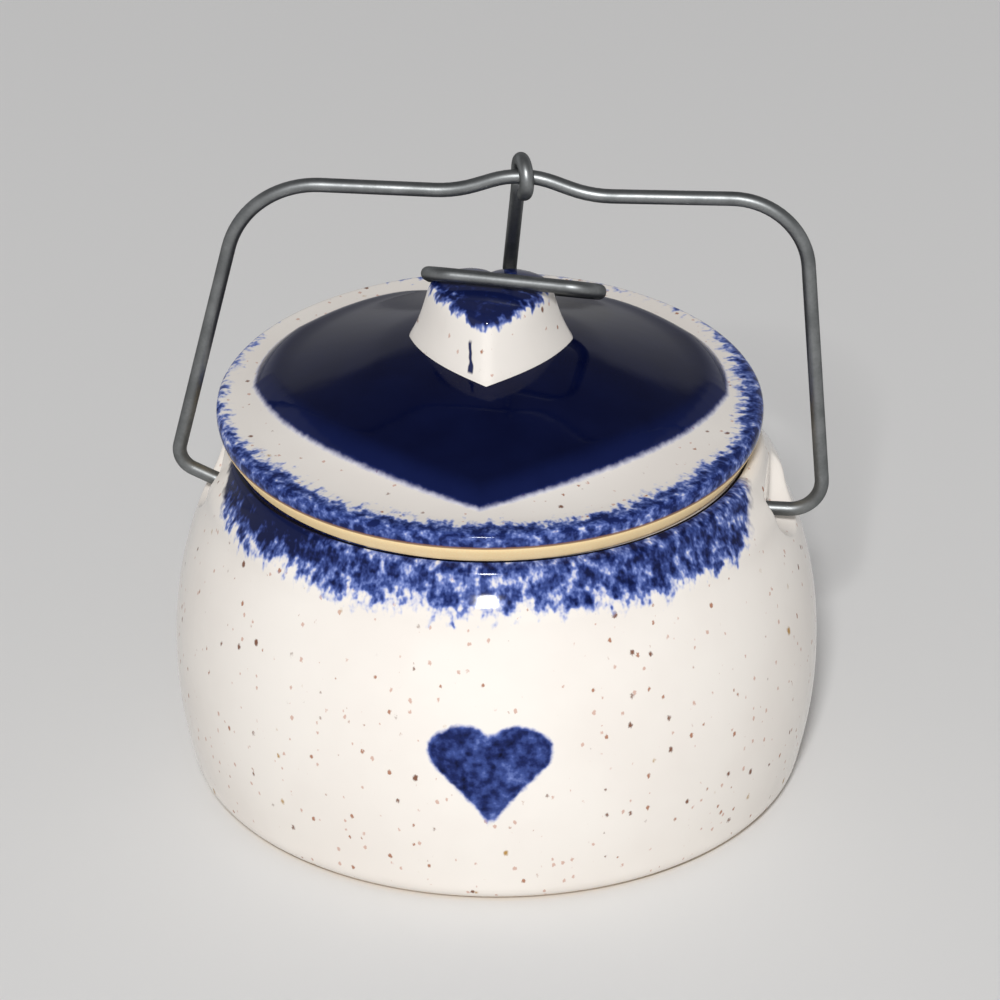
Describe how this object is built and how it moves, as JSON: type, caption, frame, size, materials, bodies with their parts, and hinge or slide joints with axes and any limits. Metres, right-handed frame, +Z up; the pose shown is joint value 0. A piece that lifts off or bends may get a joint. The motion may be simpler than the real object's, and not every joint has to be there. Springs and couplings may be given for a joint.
{
  "type": "ceramic canister",
  "caption": "Squat glazed stoneware crock with a domed heart-knob lid, held shut by a swinging wire bail and a wire clasp over the knob.",
  "frame": {"origin": "centre of the flat base, on the surface it stands on", "axes": "+Z up, X along the two bail pins, -Y to the front, where the hearts point"},
  "size_m": [0.1206, 0.1186, 0.1226],
  "materials": {
    "glaze_cream": "gloss glaze over stoneware, cream with rust speckles and sponged cobalt",
    "glaze_blue_and_cream": "gloss glaze over stoneware, navy heart on cream with a sponged cobalt edge",
    "galvanised_wire": "dull galvanised steel wire"
  },
  "bodies": {
    "crock": {"crock": "glaze_cream"},
    "lid": {"lid": "glaze_blue_and_cream"},
    "bail": {"bail": "galvanised_wire"},
    "lid_clasp": {"lid_clasp": "galvanised_wire"}
  },
  "joints": [
    {"name": "bail_swing", "type": "hinge", "parent": "crock", "child": "bail", "pos_m": [0, 0, 0.0535], "axis": [-1, 0, 0], "range_deg": [0, 95]},
    {"name": "clasp_flip", "type": "hinge", "parent": "bail", "child": "lid_clasp", "pos_m": [0.0047, 0, 0.11816], "axis": [1, 0, 0], "range_deg": [0, 190]},
    {"name": "lid_lift", "type": "slide", "parent": "crock", "child": "lid", "axis": [0, 0, 1], "range_m": [0, 0.0125]}
  ],
  "couplings": [
    {"joint": "clasp_flip", "follows": "bail_swing", "ratio": 2},
    {"joint": "lid_lift", "follows": "bail_swing", "m_per_rad": 0.0075}
  ]
}
